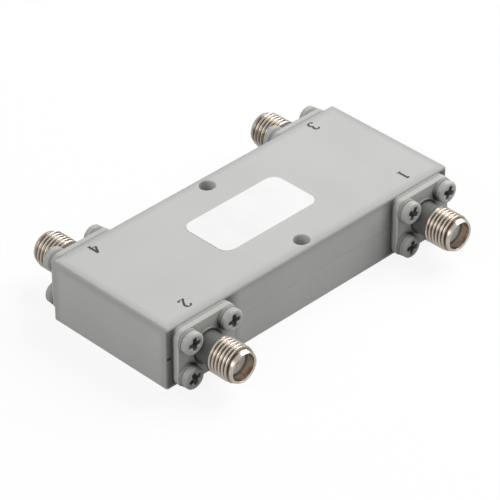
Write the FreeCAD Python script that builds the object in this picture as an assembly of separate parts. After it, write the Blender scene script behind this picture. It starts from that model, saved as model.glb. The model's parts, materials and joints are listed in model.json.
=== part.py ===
import FreeCAD, Part
import math
import os
from FreeCAD import Vector

# Quadrature hybrid coupler with four threaded coaxial jacks.
# Frame: origin at the centre of the block's underside, X along the block, Z up.
# The two input jacks are on the -Y side and the two output jacks on the +Y side.
# Every length is in millimetres.

# Block, cut in two along the plane of the strip lines
body_length = 63.0
body_width = 25.7
base_height = 5.7
cover_height = 5.7
top_edge_radius = 0.5
upright_edge_radius = 0.4
foot_edge_radius = 0.15
seam_bevel = 0.07
side_wall = 5.05
end_wall = 4.9

# Two plain mounting holes through the block, at mid length
mount_hole_radius = 1.35
mount_hole_to_side = 2.25
mount_hole_rim = 0.25

# Strip line sandwich inside the block
board_thickness = 1.5
film_thickness = 0.2
strip_thickness = 0.07
board_edge_gap = 0.1
feed_width = 2.3
coupled_width = 1.4
coupled_length = 30.0
feed_stub_length = 4.0
pad_edge_gap = 0.3

# Jacks: where they stand and how they are bolted on
port_to_end = 7.1
flange_width = 12.2
flange_margin = 0.4
flange_corner = 1.5
flange_thickness = 1.0
flange_edge_radius = 0.2
gasket_thickness = 0.5
gasket_inset = 0.2
screw_to_flange_side = 1.9
screw_to_flange_top = 2.0

# Jacks: the barrel, measured outwards from the block's side
barrel_reach = 9.6
base_radius = 3.0
base_fillet = 0.15
thread_radius = 3.175
thread_start = 4.4
thread_length = 3.9
thread_chamfer = 0.1
nose_radius = 2.65
mouth_radius = 2.3
mouth_depth = 1.9
mouth_bevel = 0.2
insulator_radius = 2.05
contact_radius = 0.635
socket_hole_radius = 0.47
socket_hole_depth = 2.4
socket_slot_width = 0.16
socket_slot_depth = 1.7
contact_recess = 0.05
tab_width = 0.8
tab_thickness = 0.25
tab_length = 1.6
slide_gap = 0.02

# Flange screws with spring lock washers
flange_screw_radius = 1.0
flange_screw_length = 6.0
flange_hole_radius = 1.15
head_radius = 1.93
head_height = 1.2
head_wall = 1.0
head_flat_radius = 1.4
washer_radius = 2.0
washer_thickness = 0.6
washer_split = 0.3
split_to_slot_angle = 35
tapped_extra_depth = 0.3
recess_span = 2.4
recess_width = 0.55
recess_depth = 0.9
recess_floor_span = 1.0

# Countersunk screws that hold the two halves together, driven from below
cover_screw_radius = 1.0
cover_screw_head_radius = 1.9
cover_screw_sink = 0.1
cover_screw_bite = 3.4
cover_screw_clearance = 0.1
cover_screw_recess_span = 2.1
cover_screw_turn = 31
end_screw_spacing = 11.2
side_screw_spacing = 21.0

# Label stuck on the top
label_length = 20.8
label_width = 10.2
label_corner = 1.9
label_thickness = 0.08
label_offset_x = -0.6
label_offset_y = 0.0

# Sizes that follow from the ones above
body_height = base_height + cover_height
seam_z = base_height
half_length = body_length / 2
half_width = body_width / 2
cavity_half_length = half_length - end_wall
cavity_half_width = half_width - side_wall
cavity_half_height = film_thickness / 2 + strip_thickness + board_thickness
port_x = half_length - port_to_end
mount_hole_y = half_width - mount_hole_to_side
flange_height = 2 * (base_height - flange_margin)
screw_pitch_x = flange_width - 2 * screw_to_flange_side
screw_pitch_z = flange_height - 2 * screw_to_flange_top
flange_face = gasket_thickness + flange_thickness
screw_seat = flange_face + washer_thickness
tapped_depth = flange_screw_length - screw_seat + tapped_extra_depth
mouth_floor = barrel_reach - mouth_depth
cover_screw_angle_height = cover_screw_head_radius - cover_screw_radius

# How far cutting tools run past what they cut, and what counts as nothing in a comparison
overrun = 1.0
nothing = 1e-4

# Where the middle of a quarter circle lies, as a share of its radius from the centre
quarter_middle = math.sqrt(0.5)

# Ports: node prefix, side along X, side along Y, level of the strip it feeds,
# and how far each of its four flange screws was turned, in degrees
ports = [
    ("port1", 1, -1, 1, (12, 58, 33, 75)),
    ("port2", -1, -1, -1, (84, 6, 41, 20)),
    ("port3", 1, 1, -1, (27, 66, 8, 49)),
    ("port4", -1, 1, 1, (70, 38, 15, 55)),
]

X_AXIS = Vector(1, 0, 0)
Y_AXIS = Vector(0, 1, 0)
Z_AXIS = Vector(0, 0, 1)


def box(x_range, y_range, z_range):
    """A plain box between two limits on each axis."""
    size = [high - low for low, high in (x_range, y_range, z_range)]
    corner = Vector(x_range[0], y_range[0], z_range[0])
    return Part.makeBox(size[0], size[1], size[2], corner)


def rod(radius, start, end, axis=Z_AXIS, x=0.0, y=0.0, z=0.0):
    """A cylinder from one height to another along an axis through a point."""
    foot = Vector(x, y, z) + axis * start
    return Part.makeCylinder(radius, end - start, foot, axis)


def turned(outline):
    """A solid turned about Y from a closed outline of (radius, height along Y) and arcs."""
    return Part.Face(Part.Wire(outline)).revolve(Vector(0, 0, 0), Y_AXIS, 360)


def line(a, b):
    """A straight edge between two points given as (radius, height along Y)."""
    return Part.makeLine(Vector(a[0], a[1], 0), Vector(b[0], b[1], 0))


def polyline(points):
    """Straight edges through a list of points, without closing it."""
    return [line(a, b) for a, b in zip(points, points[1:])]


def arc(a, middle, b):
    """An arc through three points given as (radius, height along Y)."""
    return Part.Arc(*[Vector(p[0], p[1], 0) for p in (a, middle, b)]).toShape()


def edges_where(shape, test):
    """The edges of a shape whose box of corners passes a test."""
    return [edge for edge in shape.Edges if test(edge.BoundBox)]


def rounded_plate(width, height, corner, thickness):
    """A plate that stands on the XZ plane and grows along +Y, with rounded corners."""
    plate = box((-width / 2, width / 2), (0, thickness), (-height / 2, height / 2))
    uprights = edges_where(plate, lambda b: b.YLength > thickness / 2 and b.XLength < nothing)
    return plate.makeFillet(corner, uprights)


def screw_places():
    """Centres of a flange's four screws, as (x, z) from the port's axis."""
    half_x = screw_pitch_x / 2
    half_z = screw_pitch_z / 2
    return [(-half_x, half_z), (half_x, half_z), (-half_x, -half_z), (half_x, -half_z)]


def at_port(shape, side_x, side_y):
    """Moves a shape from the port's own frame, +Y outwards, to its place on the block."""
    placed = shape.copy()
    if side_y < 0:
        placed.rotate(Vector(0, 0, 0), Z_AXIS, 180)
    placed.translate(Vector(side_x * port_x, side_y * half_width, seam_z))
    return placed


def cover_screw_places():
    """Centres of the eight screws that hold the halves together."""
    end_x = half_length - end_wall / 2
    side_y = half_width - side_wall / 2
    places = [(sx * end_x, sy * end_screw_spacing / 2) for sx in (-1, 1) for sy in (-1, 1)]
    places += [(sx * side_screw_spacing / 2, sy * side_y) for sx in (-1, 1) for sy in (-1, 1)]
    return places


# The block's two halves


def block_half(bottom, top, outer_radius, at_top):
    """One half of the block, with its outer edges rounded and its seam edge bevelled."""
    half = box((-half_length, half_length), (-half_width, half_width), (bottom, top))
    uprights = edges_where(half, lambda b: b.ZLength > (top - bottom) / 2)
    half = half.makeFillet(upright_edge_radius, uprights)
    outer_z = top if at_top else bottom
    seam_side_z = bottom if at_top else top
    rim = edges_where(half, lambda b: b.ZLength < nothing and abs(b.ZMin - outer_z) < nothing)
    half = half.makeFillet(outer_radius, rim)
    seam = edges_where(half, lambda b: b.ZLength < nothing and abs(b.ZMin - seam_side_z) < nothing)
    return half.makeChamfer(seam_bevel, seam)


def port_cuts():
    """Everything that the four jacks and their screws need cut out of the block."""
    cuts = []
    for _, side_x, side_y, _, _ in ports:
        through_wall = rod(insulator_radius + slide_gap, -side_wall, overrun, Y_AXIS)
        cuts.append(at_port(through_wall, side_x, side_y))
        for x, z in screw_places():
            tapped = rod(flange_screw_radius + slide_gap, -tapped_depth, overrun, Y_AXIS, x=x, z=z)
            cuts.append(at_port(tapped, side_x, side_y))
    return cuts


def cavity():
    """The pocket that holds the strip line sandwich, half in each part of the block."""
    return box(
        (-cavity_half_length, cavity_half_length),
        (-cavity_half_width, cavity_half_width),
        (seam_z - cavity_half_height, seam_z + cavity_half_height),
    )


def mount_holes():
    """The two mounting holes, as cutting rods."""
    bottom = -overrun
    top = body_height + overrun
    return [rod(mount_hole_radius, bottom, top, y=side * mount_hole_y) for side in (-1, 1)]


def round_hole_rims(half, level):
    """Softens the two mounting holes' outer rims."""
    rims = edges_where(
        half,
        lambda b: b.ZLength < nothing
        and abs(b.ZMin - level) < nothing
        and abs(b.XLength - 2 * mount_hole_radius) < nothing
        and abs(b.Center.x) < nothing,
    )
    return half.makeFillet(mount_hole_rim, rims)


def make_base():
    """The lower half: it takes the cover screws' heads and half of the cavity."""
    base = block_half(0, base_height, foot_edge_radius, at_top=False)
    base = base.cut(mount_holes())
    base = round_hole_rims(base, 0)
    cuts = port_cuts() + [cavity()]
    shank_hole = cover_screw_radius + cover_screw_clearance
    head_hole = cover_screw_head_radius + cover_screw_clearance
    for x, y in cover_screw_places():
        cuts.append(rod(shank_hole, -overrun, base_height + overrun, x=x, y=y))
        cuts.append(rod(head_hole, -overrun, cover_screw_sink, x=x, y=y))
        sink = Part.makeCone(
            head_hole, shank_hole, head_hole - shank_hole, Vector(x, y, cover_screw_sink), Z_AXIS
        )
        cuts.append(sink)
    return base.cut(cuts)


def make_cover():
    """The upper half, plain on top, with blind tapped holes for the cover screws."""
    cover = block_half(seam_z, body_height, top_edge_radius, at_top=True)
    cover = cover.cut(mount_holes())
    cover = round_hole_rims(cover, body_height)
    cuts = port_cuts() + [cavity()]
    blind_top = seam_z + cover_screw_bite + tapped_extra_depth
    for x, y in cover_screw_places():
        cuts.append(rod(cover_screw_radius + slide_gap, seam_z - overrun, blind_top, x=x, y=y))
    return cover.cut(cuts)


def cross_recess(span, floor_span, width, depth):
    """A cutter for a cross slot that opens at height 0 and narrows down -Z to its floor."""
    half_profile = [(span / 2, overrun), (span / 2, 0), (floor_span / 2, -depth)]
    profile = half_profile + [(-x, z) for x, z in reversed(half_profile)]
    corners = [Vector(x, -width / 2, z) for x, z in profile + profile[:1]]
    wings = None
    for degrees in (0, 90):
        wing = Part.Face(Part.makePolygon(corners)).extrude(Vector(0, width, 0))
        wing.rotate(Vector(0, 0, 0), Z_AXIS, degrees)
        wings = wing if wings is None else wings.fuse(wing)
    return wings.removeSplitter()


def make_cover_screws():
    """Eight countersunk screws, heads down, flush inside the base."""
    reach = seam_z + cover_screw_bite
    head_end = cover_screw_sink + cover_screw_angle_height
    slot = cross_recess(cover_screw_recess_span, recess_floor_span, recess_width, recess_depth)
    slot.rotate(Vector(0, 0, 0), X_AXIS, 180)
    slot.translate(Vector(0, 0, cover_screw_sink))
    screws = []
    for index, (x, y) in enumerate(cover_screw_places()):
        head = Part.makeCone(
            cover_screw_head_radius,
            cover_screw_radius,
            cover_screw_angle_height,
            Vector(0, 0, cover_screw_sink),
            Z_AXIS,
        )
        screw = head.fuse(rod(cover_screw_radius, head_end, reach)).removeSplitter().cut(slot)
        screw.rotate(Vector(0, 0, 0), Z_AXIS, cover_screw_turn * index)
        screw.translate(Vector(x, y, 0))
        screws.append(screw)
    return Part.makeCompound(screws)


# The strip line sandwich


def tab_notches(level):
    """Notches that let the contact tabs of one level lie on their strip."""
    notch_half = tab_width / 2 + board_edge_gap
    notches = []
    for _, side_x, side_y, port_level, _ in ports:
        if port_level == level:
            inner = -side_wall - tab_length - board_edge_gap
            notch = box((-notch_half, notch_half), (inner, 0), (-base_height, cover_height))
            notches.append(at_port(notch, side_x, side_y))
    return notches


def make_board(level):
    """One of the two thick boards: level 1 above the strips, level -1 below them."""
    near = film_thickness / 2 + strip_thickness
    low, high = sorted((seam_z + level * near, seam_z + level * cavity_half_height))
    half_x = cavity_half_length - board_edge_gap
    half_y = cavity_half_width - board_edge_gap
    board = box((-half_x, half_x), (-half_y, half_y), (low, high))
    return board.cut(tab_notches(level))


def make_film():
    """The thin film between the two strips."""
    half_x = cavity_half_length - board_edge_gap
    half_y = cavity_half_width - board_edge_gap
    return box(
        (-half_x, half_x),
        (-half_y, half_y),
        (seam_z - film_thickness / 2, seam_z + film_thickness / 2),
    )


def flat_run(start, end, width, low):
    """One straight run of a strip, with a round end at each side."""
    run = Vector(end[0] - start[0], end[1] - start[1], 0)
    bar = box((0, run.Length), (-width / 2, width / 2), (low, low + strip_thickness))
    bar.rotate(Vector(0, 0, 0), Z_AXIS, math.degrees(math.atan2(run.y, run.x)))
    bar.translate(Vector(start[0], start[1], 0))
    for x, y in (start, end):
        bar = bar.fuse(rod(width / 2, low, low + strip_thickness, x=x, y=y))
    return bar


def make_strip(level):
    """One coupled strip. It crosses from one long side to the other through the middle."""
    low = seam_z + film_thickness / 2
    if level < 0:
        low = seam_z - film_thickness / 2 - strip_thickness
    pad_y = cavity_half_width - board_edge_gap - pad_edge_gap - feed_width / 2
    knee_y = cavity_half_width - feed_stub_length
    middle = coupled_length / 2
    route = [
        ((port_x, -pad_y), (port_x, -knee_y), feed_width),
        ((port_x, -knee_y), (middle, 0), feed_width),
        ((middle, 0), (-middle, 0), coupled_width),
        ((-middle, 0), (-port_x, knee_y), feed_width),
        ((-port_x, knee_y), (-port_x, pad_y), feed_width),
    ]
    strip = None
    for start, end, width in route:
        start = (start[0], level * start[1])
        end = (end[0], level * end[1])
        run = flat_run(start, end, width, low)
        strip = run if strip is None else strip.fuse(run)
    return strip.removeSplitter()


# The parts of one jack, in its own frame: origin where its axis meets the block's side


def make_jack_shell():
    """Flange and barrel in one turned and milled piece, with the mating mouth in front."""
    plate = rounded_plate(flange_width, flange_height, flange_corner, flange_thickness)
    front_rim = edges_where(plate, lambda b: b.YMin > flange_thickness - nothing)
    plate = plate.makeFillet(flange_edge_radius, front_rim)
    plate.translate(Vector(0, gasket_thickness, 0))
    thread_end = thread_start + thread_length
    bore = insulator_radius + slide_gap
    fillet_foot = (base_radius + base_fillet, flange_face)
    fillet_inset = base_fillet * (1 - quarter_middle)
    fillet_middle = (base_radius + fillet_inset, flange_face + fillet_inset)
    fillet_top = (base_radius, flange_face + base_fillet)
    outline = polyline([(bore, mouth_floor), (bore, gasket_thickness)])
    outline += polyline([(bore, gasket_thickness), (fillet_foot[0], gasket_thickness), fillet_foot])
    outline.append(arc(fillet_foot, fillet_middle, fillet_top))
    outline += polyline(
        [
            fillet_top,
            (base_radius, thread_start),
            (thread_radius - thread_chamfer, thread_start),
            (thread_radius, thread_start + thread_chamfer),
            (thread_radius, thread_end),
            (nose_radius, barrel_reach),
            (mouth_radius + mouth_bevel, barrel_reach),
            (mouth_radius, barrel_reach - mouth_bevel),
            (mouth_radius, mouth_floor),
            (bore, mouth_floor),
        ]
    )
    shell = plate.fuse(turned(outline)).removeSplitter()
    cuts = [rod(bore, -overrun, mouth_floor, Y_AXIS)]
    for x, z in screw_places():
        hole = rod(flange_hole_radius, -overrun, flange_face + overrun, Y_AXIS, x=x, z=z)
        cuts.append(hole)
    return shell.cut(cuts)


def make_gasket():
    """The conductive gasket between flange and block, a little smaller than the flange."""
    gasket = rounded_plate(
        flange_width - 2 * gasket_inset,
        flange_height - 2 * gasket_inset,
        flange_corner - gasket_inset,
        gasket_thickness,
    )
    top = gasket_thickness + overrun
    cuts = [rod(insulator_radius + slide_gap, -overrun, top, Y_AXIS)]
    for x, z in screw_places():
        cuts.append(rod(flange_hole_radius, -overrun, top, Y_AXIS, x=x, z=z))
    return gasket.cut(cuts)


def make_insulator():
    """The plastic sleeve round the contact, from the mouth's floor to the cavity."""
    sleeve = rod(insulator_radius, -side_wall, mouth_floor, Y_AXIS)
    return sleeve.cut(rod(contact_radius + slide_gap, -side_wall - overrun, barrel_reach, Y_AXIS))


def make_contact(level):
    """The centre contact: slotted socket in front, flat tab on its strip behind."""
    front = mouth_floor - contact_recess
    contact = rod(contact_radius, -side_wall, front, Y_AXIS)
    strip_face = film_thickness / 2 + strip_thickness
    tab_z = sorted((level * strip_face, level * (strip_face + tab_thickness)))
    tab = box((-tab_width / 2, tab_width / 2), (-side_wall - tab_length, -side_wall), tab_z)
    contact = contact.fuse(tab)
    cuts = [rod(socket_hole_radius, front - socket_hole_depth, front + overrun, Y_AXIS)]
    for degrees in (0, 90):
        slot = box(
            (-contact_radius - overrun, contact_radius + overrun),
            (front - socket_slot_depth, front + overrun),
            (-socket_slot_width / 2, socket_slot_width / 2),
        )
        slot.rotate(Vector(0, 0, 0), Y_AXIS, degrees)
        cuts.append(slot)
    return contact.cut(cuts)


def make_flange_screw(degrees):
    """One pan head screw with a cross slot, its seat at height 0 along Y."""
    dome_drop = head_height - head_wall
    dome_run = head_radius - head_flat_radius
    rim = (head_radius, head_wall)
    dome_middle = (
        head_flat_radius + dome_run * quarter_middle,
        head_wall + dome_drop * quarter_middle,
    )
    flat_rim = (head_flat_radius, head_height)
    outline = polyline([(0, 0), (head_radius, 0), rim])
    outline.append(arc(rim, dome_middle, flat_rim))
    outline += polyline([flat_rim, (0, head_height), (0, 0)])
    slot = cross_recess(recess_span, recess_floor_span, recess_width, recess_depth)
    slot.rotate(Vector(0, 0, 0), Z_AXIS, degrees)
    slot.rotate(Vector(0, 0, 0), X_AXIS, -90)
    slot.translate(Vector(0, head_height, 0))
    shank = rod(flange_screw_radius, -flange_screw_length, 0, Y_AXIS)
    return turned(outline).fuse(shank).removeSplitter().cut(slot)


def make_flange_screws(turns):
    """A flange's four screws."""
    screws = []
    for (x, z), degrees in zip(screw_places(), turns):
        screw = make_flange_screw(degrees)
        screw.translate(Vector(x, screw_seat, z))
        screws.append(screw)
    return Part.makeCompound(screws)


def make_lock_washers(turns):
    """Four split spring washers under a flange's screw heads."""
    top = washer_thickness + overrun
    washers = []
    for (x, z), degrees in zip(screw_places(), turns):
        washer = rod(washer_radius, 0, washer_thickness, Y_AXIS)
        split = box((0, washer_radius + overrun), (-overrun, top), (0, washer_split))
        washer = washer.cut([rod(flange_hole_radius, -overrun, top, Y_AXIS), split])
        washer.rotate(Vector(0, 0, 0), Y_AXIS, degrees + split_to_slot_angle)
        washer.translate(Vector(x, flange_face, z))
        washers.append(washer)
    return Part.makeCompound(washers)


def make_label():
    """The blank label on the top face."""
    half_x = label_length / 2
    half_y = label_width / 2
    label = box((-half_x, half_x), (-half_y, half_y), (0, label_thickness))
    corners = edges_where(label, lambda b: b.ZLength > label_thickness / 2)
    label = label.makeFillet(label_corner, corners)
    label.translate(Vector(label_offset_x, label_offset_y, body_height))
    return label


def build():
    """Every node of the coupler, by name."""
    nodes = {
        "base_half": make_base(),
        "cover_half": make_cover(),
        "lower_board": make_board(-1),
        "centre_film": make_film(),
        "upper_board": make_board(1),
        "upper_strip": make_strip(1),
        "lower_strip": make_strip(-1),
        "cover_screws": make_cover_screws(),
        "label": make_label(),
    }
    for name, side_x, side_y, level, turns in ports:
        parts = {
            "jack_shell": make_jack_shell(),
            "gasket": make_gasket(),
            "insulator": make_insulator(),
            "contact": make_contact(level),
            "flange_screws": make_flange_screws(turns),
            "lock_washers": make_lock_washers(turns),
        }
        for part_name, shape in parts.items():
            nodes[f"{name}_{part_name}"] = at_port(shape, side_x, side_y)
    return nodes


os.makedirs("parts", exist_ok=True)
for node_name, node_shape in build().items():
    node_shape.exportStep(f"parts/{node_name}.step")
    print(node_name, "solids", len(node_shape.Solids), "volume", round(node_shape.Volume, 3),
          "valid", node_shape.isValid())
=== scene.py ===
# %% [markdown]
# # A quadrature hybrid coupler
# The object is a small radio part: a grey painted metal block, screwed together from two halves, with
# four threaded coaxial jacks bolted to its long sides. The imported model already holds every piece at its
# real size. This lesson dresses it. The pieces whose shape is right are kept and get a finish. The jacks,
# their screws and their gaskets are modelled anew, as the real ones show more than the plain solids do,
# and the numerals are printed on top.

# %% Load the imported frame
import json
import math

import bmesh
import bpy
from mathutils import Matrix, Vector


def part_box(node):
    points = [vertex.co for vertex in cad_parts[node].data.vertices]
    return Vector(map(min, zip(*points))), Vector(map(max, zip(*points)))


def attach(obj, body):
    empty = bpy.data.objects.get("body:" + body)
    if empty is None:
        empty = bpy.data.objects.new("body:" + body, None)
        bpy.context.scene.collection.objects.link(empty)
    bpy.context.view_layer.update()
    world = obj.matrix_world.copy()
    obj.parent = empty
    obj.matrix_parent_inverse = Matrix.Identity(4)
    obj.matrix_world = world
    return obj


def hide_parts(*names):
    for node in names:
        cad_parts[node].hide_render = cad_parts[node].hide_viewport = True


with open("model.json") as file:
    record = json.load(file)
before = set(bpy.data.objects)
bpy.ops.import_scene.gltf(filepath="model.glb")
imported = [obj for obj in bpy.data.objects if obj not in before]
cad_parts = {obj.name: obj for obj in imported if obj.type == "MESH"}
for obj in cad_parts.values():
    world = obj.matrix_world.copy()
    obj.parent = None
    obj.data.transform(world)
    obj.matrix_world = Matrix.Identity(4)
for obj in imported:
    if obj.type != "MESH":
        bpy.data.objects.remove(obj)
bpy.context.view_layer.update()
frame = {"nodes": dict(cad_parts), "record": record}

MM = 0.001

# %% [markdown]
# ## Sizes come from the frame
# Nothing is measured twice. A box round each solid gives the block, the flange, the gasket and the
# screws, and the record's mounts give the thread and the mouth. Here q is the distance outwards from the
# block's side, so all four jacks share one set of lengths. Everything is in millimetres until a mesh is
# finished. A box can't tell how long the barrel's plain nose is or how wide one screw's head is, so these
# two are written down.

# %% Read the sizes
NOSE_LENGTH = 0.5
HEAD_RADIUS = 1.93
mounts = {mount["name"]: mount for mount in frame["record"]["mounts"]}


def box_mm(node):
    """The lowest and highest corner of a solid, in millimetres."""
    low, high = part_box(node)
    return low / MM, high / MM


block_high = box_mm("cover_half")[1]
half_width = block_high.y
seam_z = box_mm("base_half")[1].z
port_x, _, port_z = [value / MM for value in mounts["port3_thread"]["pos_m"]]
shell_low, shell_high = box_mm("port3_jack_shell")
gasket_low, gasket_high = box_mm("port3_gasket")
washers_low, washers_high = box_mm("port3_lock_washers")
screws_low, screws_high = box_mm("port3_flange_screws")
sleeve_high = box_mm("port3_insulator")[1]

flange_width = shell_high.x - shell_low.x
flange_height = shell_high.z - shell_low.z
flange_back = gasket_high.y - half_width
flange_front = washers_low.y - half_width
washer_face = washers_high.y - half_width
head_top = screws_high.y - half_width
screw_foot = screws_low.y - half_width
mouth_floor = sleeve_high.y - half_width
barrel_tip = shell_high.y - half_width
thread_radius = mounts["port3_thread"]["dims"]["r_mm"]
mouth_radius = mounts["port3_mouth"]["dims"]["r_mm"]
thread_middle = mounts["port3_thread"]["pos_m"][1] / MM - half_width
thread_half = mounts["port3_thread"]["dims"]["length_mm"] / 2
thread_from = thread_middle - thread_half
thread_to = thread_middle + thread_half
groove_end = barrel_tip - NOSE_LENGTH
screw_reach_x = (screws_high.x - screws_low.x) / 2 - HEAD_RADIUS
screw_reach_z = (screws_high.z - screws_low.z) / 2 - HEAD_RADIUS
print("flange", round(flange_width, 2), "by", round(flange_height, 2), "from q", round(flange_back, 2))
print("thread from q", round(thread_from, 2), "to", round(thread_to, 2))
print("barrel tip at q", round(barrel_tip, 2))

# %% [markdown]
# ## A small mesh kit
# A turned part is a stack of rings, and a plate is a flat face between outlines. Cutting solids with one
# another would be another way, but built like this every face stays where it was meant, and every mesh is
# closed. Normals that favour the large faces keep flat faces flat beside a round edge.

# %% Rings, bands and flat fills
TURN = 2 * math.pi
RING = 160
SHARP_DEGREES = 35


class Piece:
    """Gathers rings and faces in millimetres and makes one mesh of them."""

    def __init__(self, name, place):
        self.name = name
        self.place = place
        self.bm = bmesh.new()

    def ring(self, points):
        """Lays a closed ring of points, given in the piece's own frame."""
        return [self.bm.verts.new(self.place(*point)) for point in points]

    def join(self, first, second):
        """Joins two rings of equal count with a band of faces."""
        for i in range(len(first)):
            self.bm.faces.new((first[i - 1], first[i], second[i], second[i - 1]))

    def stack(self, rings):
        """Lays several rings and joins each to the next. Returns the first and the last."""
        laid = [self.ring(points) for points in rings]
        for lower, upper in zip(laid, laid[1:]):
            self.join(lower, upper)
        return laid[0], laid[-1]

    def fill(self, *rings):
        """Fills the flat face that lies between closed rings."""
        edges = []
        for ring in rings:
            for i in range(len(ring)):
                pair = (ring[i - 1], ring[i])
                edges.append(self.bm.edges.get(pair) or self.bm.edges.new(pair))
        bmesh.ops.triangle_fill(self.bm, edges=edges, use_beauty=True)

    def finish(self):
        """Closes the work: a shaded mesh object in metres."""
        bmesh.ops.recalc_face_normals(self.bm, faces=self.bm.faces)
        self.bm.transform(Matrix.Scale(MM, 4))
        open_edges = sum(not edge.is_manifold for edge in self.bm.edges)
        mesh = bpy.data.meshes.new(self.name)
        self.bm.to_mesh(mesh)
        self.bm.free()
        mesh.shade_smooth()
        mesh.set_sharp_from_angle(angle=math.radians(SHARP_DEGREES))
        made = bpy.data.objects.new(self.name, mesh)
        bpy.context.scene.collection.objects.link(made)
        weighted = made.modifiers.new("flat faces stay flat", "WEIGHTED_NORMAL")
        weighted.keep_sharp = True
        print(self.name, "faces", len(mesh.polygons), "open edges", open_edges)
        return made


def circle(radius, q, x=0.0, z=0.0, count=RING):
    """A ring round an axis that points outwards."""
    angles = [TURN * i / count for i in range(count)]
    return [(x + radius * math.cos(a), q, z + radius * math.sin(a)) for a in angles]


def at_port(side_x, side_y):
    """Places a jack's own frame on the block. A front jack is a back one given half a turn."""

    def place(x, q, z):
        return Vector((side_x * port_x + side_y * x, side_y * (half_width + q), port_z + z))

    return place


PORTS = {"port1": (1, -1), "port2": (-1, -1), "port3": (1, 1), "port4": (-1, 1)}
print("points round a turned part", RING, "jacks", len(PORTS))

# %% [markdown]
# ## Shader maths that reads as sums
# A finish is a small calculation: a mask here, a noise there, one colour mixed into another. Wrapping a
# node's socket in a class that knows plus, minus and times lets that calculation be written as one line
# of Python. Each operator quietly adds its Math node, which is much shorter than adding and linking every
# node by hand.

# %% A socket that can be calculated with
class Value:
    """One output socket of a shader tree."""

    def __init__(self, tree, socket):
        self.tree = tree
        self.socket = socket

    def maths(self, operation, *others):
        sockets = dict(enumerate((self,) + others))
        return self.tree.node("Math", {"operation": operation}, sockets)

    def __add__(self, other):
        return self.maths("ADD", other)

    __radd__ = __add__

    def __sub__(self, other):
        return self.maths("SUBTRACT", other)

    def __rsub__(self, other):
        return self.tree.node("Math", {"operation": "SUBTRACT"}, {0: other, 1: self})

    def __mul__(self, other):
        return self.maths("MULTIPLY", other)

    __rmul__ = __mul__

    def __pow__(self, other):
        return self.maths("POWER", other)

    def __abs__(self):
        return self.maths("ABSOLUTE")

    def at_most(self, other):
        return self.maths("MINIMUM", other)

    def at_least(self, other):
        return self.maths("MAXIMUM", other)

    def rises(self, low, high):
        """0 below low, 1 above high, with a soft step between."""
        settings = {"interpolation_type": "SMOOTHSTEP"}
        limits = {"Value": self, "From Min": low, "From Max": high}
        return self.tree.node("MapRange", settings, limits)

    def falls(self, low, high):
        """1 below low, 0 above high."""
        return 1 - self.rises(low, high)


# %% [markdown]
# ## One method for every other node
# Apart from the sums, a finish needs only a few kinds of node: where the point is, noise, a colour mix, a
# bump and the surface itself. One method adds any kind. It sets the node's own settings first, as these
# can change its sockets, and then the values or links of the sockets. The short methods after it use it.

# %% A tree of nodes, and helpers for places and colours
class Tree:
    """A node tree with one way to add any node."""

    def __init__(self, owner):
        owner.use_nodes = True
        self.owner = owner
        self.nodes = owner.node_tree.nodes
        self.links = owner.node_tree.links
        self.nodes.clear()

    def node(self, kind, settings=None, sockets=None, output=0):
        """Adds a node: its settings first, then its sockets' values or links."""
        made = self.nodes.new("ShaderNode" + kind)
        for name, value in (settings or {}).items():
            setattr(made, name, value)
        for name, value in (sockets or {}).items():
            if isinstance(value, Value):
                self.links.new(value.socket, made.inputs[name])
            else:
                made.inputs[name].default_value = value
        return Value(self, made.outputs[output]) if len(made.outputs) else made

    def mix(self, amount, first, second):
        """One colour turned into another by an amount from 0 to 1."""
        return self.node("Mix", {"data_type": "RGBA"}, {0: amount, 6: first, 7: second}, output=2)

    def blend(self, amount, first, second):
        """One number turned into another by an amount from 0 to 1."""
        return self.node("Mix", {"data_type": "FLOAT"}, {0: amount, 2: first, 3: second})

    def place(self):
        """The point on the object, in millimetres, as a vector and as its three parts."""
        point = self.node("TexCoord", output="Object")
        scaled = self.node("VectorMath", {"operation": "SCALE"}, {0: point, "Scale": 1 / MM})
        parts = self.node("SeparateXYZ", sockets={0: scaled})
        return [scaled] + [Value(self, parts.socket.node.outputs[i]) for i in range(3)]

    def noise(self, point, size, detail=2.0, roughness=0.5):
        """Soft noise from 0 to 1 whose blotches are about so many millimetres wide."""
        sockets = {"Vector": point, "Scale": 1 / size, "Detail": detail, "Roughness": roughness}
        return self.node("TexNoise", sockets=sockets)

    def bump(self, height, distance):
        """Turns a height from 0 to 1, worth so many millimetres, into a normal."""
        sockets = {"Height": height, "Distance": distance * MM, "Strength": 1.0}
        return self.node("Bump", sockets=sockets)

    def surface(self, **sockets):
        """Ends the tree in one Principled surface."""
        named = {}
        for name, value in sockets.items():
            named[name.replace("_", " ").title().replace("Ior", "IOR")] = value
        shader = self.node("BsdfPrincipled", sockets=named)
        self.node("OutputMaterial", sockets={"Surface": shader})
        print(self.owner.name, "nodes", len(self.nodes))
        return self.owner


def tone(red, green, blue):
    """A colour as the eye reads it on a screen, from 0 to 255, turned into linear light."""
    return tuple(((c / 255 + 0.055) / 1.055) ** 2.4 for c in (red, green, blue)) + (1.0,)


def finish_tree(name):
    return Tree(bpy.data.materials.new(name))


def length(u, v):
    """The length of a flat vector, in shader maths."""
    return (u * u + v * v) ** 0.5


def from_jack_axis(x, z):
    """How far a point lies from the axis of the nearest jack."""
    return length(abs(x) - port_x, z - port_z)


print("middle grey in linear light", round(tone(128, 128, 128)[0], 3))

# %% [markdown]
# ## The grey enamel
# The object is sprayed with a light grey satin enamel. Sprayed paint is never quite flat: it dries with a
# fine orange peel, and its shade drifts a little from place to place. A flat colour would look like
# plastic, so three noises of different size make the drift, the peel and the specks, and every painted
# piece shares them.

# %% Enamel that every painted piece shares
DRIFT_SIZE = 14.0
PEEL_SIZE = 0.55
SPECK_SIZE = 0.16
PAINT_BUMP = 0.012


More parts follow.
